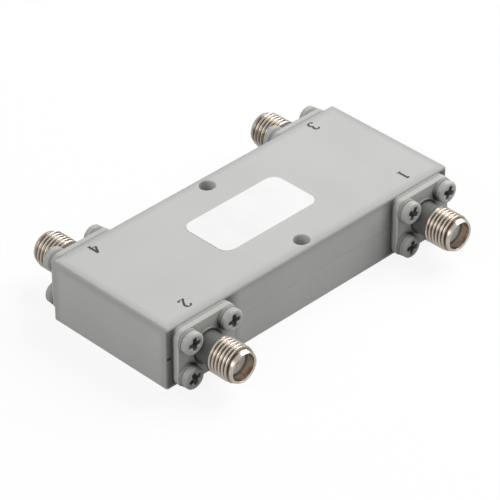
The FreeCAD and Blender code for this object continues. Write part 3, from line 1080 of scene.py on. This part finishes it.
def pen_stroke(piece, points, level):
    """One stroke as a thin slab whose width follows the pen's direction."""
    left = []
    right = []
    for i, (u, v) in enumerate(points):
        before = points[max(i - 1, 0)]
        after = points[min(i + 1, len(points) - 1)]
        run = Vector((after[0] - before[0], after[1] - before[1])).normalized()
        half = (PEN_THIN + (PEN_THICK - PEN_THIN) * abs(run.y)) / 2
        left.append((u - run.y * half, v + run.x * half))
        right.append((u + run.y * half, v - run.x * half))
    outline = left + right[::-1]
    low, high = piece.stack([[(u, v, height) for u, v in outline] for height in (0.0, level)])
    piece.fill(low)
    piece.fill(high)


def ink():
    tree = finish_tree("dark print")
    point, x, y, z = tree.place()
    spread = tree.noise(point, 0.25, detail=2.0)
    colour = tree.mix(spread, tone(46, 46, 46), tone(74, 74, 72))
    return tree.surface(base_color=colour, roughness=0.5 + spread * 0.2)


MARKS = {
    "port1": ("1", 24.55, -9.75),
    "port2": ("2", -24.5, -9.75),
    "port3": ("3", 24.55, 10.5),
    "port4": ("4", -24.75, 10.35),
}
ink_material = ink()
for port, (numeral, mark_x, mark_y) in MARKS.items():

    def on_top(u, v, height, mark_x=mark_x, mark_y=mark_y):
        turned_u = (NUMERAL_MIDDLE[0] - u) * NUMERAL_HEIGHT
        turned_v = (NUMERAL_MIDDLE[1] - v) * NUMERAL_HEIGHT
        return Vector((mark_x + turned_u, mark_y + turned_v, block_high.z + height))

    print_piece = Piece(f"{port}_numeral", on_top)
    for index, stroke in enumerate(NUMERALS[numeral]):
        pen_stroke(print_piece, stroke, INK_THICKNESS * (1 + THICKER_BY_STROKE * index))
    made = print_piece.finish()
    made.data.materials.append(ink_material)
    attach(made, "root")

# %% [markdown]
# ## The floor
# The part stands on a plain white sweep. To the camera the floor is nearly pure white, and a share of
# ordinary matt floor stays in the mix, so that the part still casts a faint shadow. Mirror-like surfaces
# see a smaller share of that white. A floor that is bright to every ray would light the part from below
# and wash it out.

# %% Lay the floor
WHITE = (1.0, 1.0, 1.0, 1.0)
FLOOR_GREY = (0.42, 0.42, 0.42, 1.0)
FLOOR_PALE = (0.95, 0.95, 0.95, 1.0)
WHITE_TO_CAMERA = 0.88
WHITE_TO_GLOSS = 0.4
FLOOR_HALF = 2.0


def background_share(tree):
    """1 for rays straight from the camera, and the share of white that mirrored and bent rays see."""
    rays = tree.node("LightPath").socket.node.outputs
    kinds = ("Is Camera Ray", "Is Glossy Ray", "Is Transmission Ray")
    from_camera, glossy, through = [Value(tree, rays[kind]) for kind in kinds]
    return from_camera, glossy.at_least(through) * WHITE_TO_GLOSS


def floor_material():
    tree = finish_tree("white sweep")
    to_camera, to_gloss = background_share(tree)
    grey = tree.node("BsdfDiffuse", sockets={"Color": FLOOR_GREY})
    pale = tree.node("BsdfDiffuse", sockets={"Color": FLOOR_PALE})
    glow = tree.node("Emission", sockets={"Color": WHITE, "Strength": 1.0})
    matt = tree.node("MixShader", sockets={0: to_camera, 1: grey, 2: pale})
    white_share = (to_camera * WHITE_TO_CAMERA).at_least(to_gloss)
    floor_shader = tree.node("MixShader", sockets={0: white_share, 1: matt, 2: glow})
    tree.node("OutputMaterial", sockets={"Surface": floor_shader})
    return tree.owner


floor_mesh = bpy.data.meshes.new("sweep")
corners = [(x * FLOOR_HALF, y * FLOOR_HALF, 0.0) for x, y in ((-1, -1), (1, -1), (1, 1), (-1, 1))]
floor_mesh.from_pydata(corners, [], [(0, 1, 2, 3)])
floor_mesh.materials.append(floor_material())
floor = bpy.data.objects.new("sweep", floor_mesh)
bpy.context.scene.collection.objects.link(floor)
print("floor", 2 * FLOOR_HALF, "m wide")

# %% [markdown]
# ## The room
# Behind the floor the camera sees the same white, while everything else gets an even grey glow that keeps
# the shadows open. A bright room all round would flatten the shapes.

# %% Light the room evenly
GLOW_LEVEL = 0.24
world = bpy.data.worlds.new("soft room")
bpy.context.scene.world = world
sky = Tree(world)
to_camera, to_gloss = background_share(sky)
even_glow = sky.node("Background", sockets={"Color": WHITE, "Strength": GLOW_LEVEL})
backdrop = sky.node("Background", sockets={"Color": WHITE, "Strength": 1.0})
backdrop_share = to_camera.at_least(to_gloss)
room = sky.node("MixShader", sockets={0: backdrop_share, 1: even_glow, 2: backdrop})
sky.node("OutputWorld", sockets={"Surface": room})
print("even glow", GLOW_LEVEL)

# %% [markdown]
# ## The lamps
# The photo's threads carry two bright stripes with a dark one between, so there are two softboxes: a
# strong one up on the right and a long, weaker one on the left. A faint fill stands in front. One large
# lamp would leave a single stripe.

# %% Hang the softboxes
def softbox(name, place, width, height, level):
    """A lamp that faces the part, in metres. Its face looks just white at level 1."""
    lamp = bpy.data.lights.new(name, "AREA")
    lamp.shape = "RECTANGLE"
    lamp.size = width
    lamp.size_y = height
    lamp.energy = level * math.pi * width * height
    made = bpy.data.objects.new(name, lamp)
    made.location = place
    made.rotation_euler = (-Vector(place)).to_track_quat("-Z", "Y").to_euler()
    bpy.context.scene.collection.objects.link(made)
    print(name, "energy", round(lamp.energy, 3))


softbox("right softbox", (0.42, -0.05, 0.42), width=0.48, height=0.48, level=5.0)
softbox("left softbox", (-0.57, 0.15, 0.38), width=0.85, height=0.34, level=2.1)
softbox("front fill", (-0.1, -0.75, 0.3), width=0.8, height=0.8, level=0.35)

# %% [markdown]
# ## The camera
# The photograph was taken from far off with a long lens: parallel edges stay nearly parallel. The
# camera's direction, distance and lens were worked out from the block's corners and edges, its holes and
# the jacks' tips, as a guess by eye never lines up everywhere. It looks down on the corner between the
# left end and the input side. Angles are in degrees and lengths in millimetres.

# %% Place the camera
CAMERA_AZIMUTH = -45.0165
CAMERA_ELEVATION = 35.6618
CAMERA_ROLL = 0.0854
CAMERA_DISTANCE = 505.11
CAMERA_ASIDE = -0.53825
CAMERA_UP = 3.2169
LENS = 225.782
SENSOR = 36.0

azimuth, elevation, roll = [math.radians(a) for a in (CAMERA_AZIMUTH, CAMERA_ELEVATION, CAMERA_ROLL)]
back = Vector((
    math.sin(azimuth) * math.cos(elevation),
    -math.cos(azimuth) * math.cos(elevation),
    math.sin(elevation),
))
level_right = Vector((math.cos(azimuth), math.sin(azimuth), 0))
level_up = back.cross(level_right)
right = level_right * math.cos(roll) + level_up * math.sin(roll)
up = level_up * math.cos(roll) - level_right * math.sin(roll)
station = (right * CAMERA_ASIDE + up * CAMERA_UP + back * CAMERA_DISTANCE) * MM
lens = bpy.data.cameras.new("long lens")
lens.lens = LENS
lens.sensor_width = SENSOR
lens.clip_start = 0.01
camera = bpy.data.objects.new("camera", lens)
camera.matrix_world = Matrix.Translation(station) @ Matrix((right, up, back)).transposed().to_4x4()
bpy.context.scene.collection.objects.link(camera)
bpy.context.scene.camera = camera
bpy.context.scene.view_settings.view_transform = "Standard"
print("camera at", [round(value / MM, 1) for value in station], "mm")
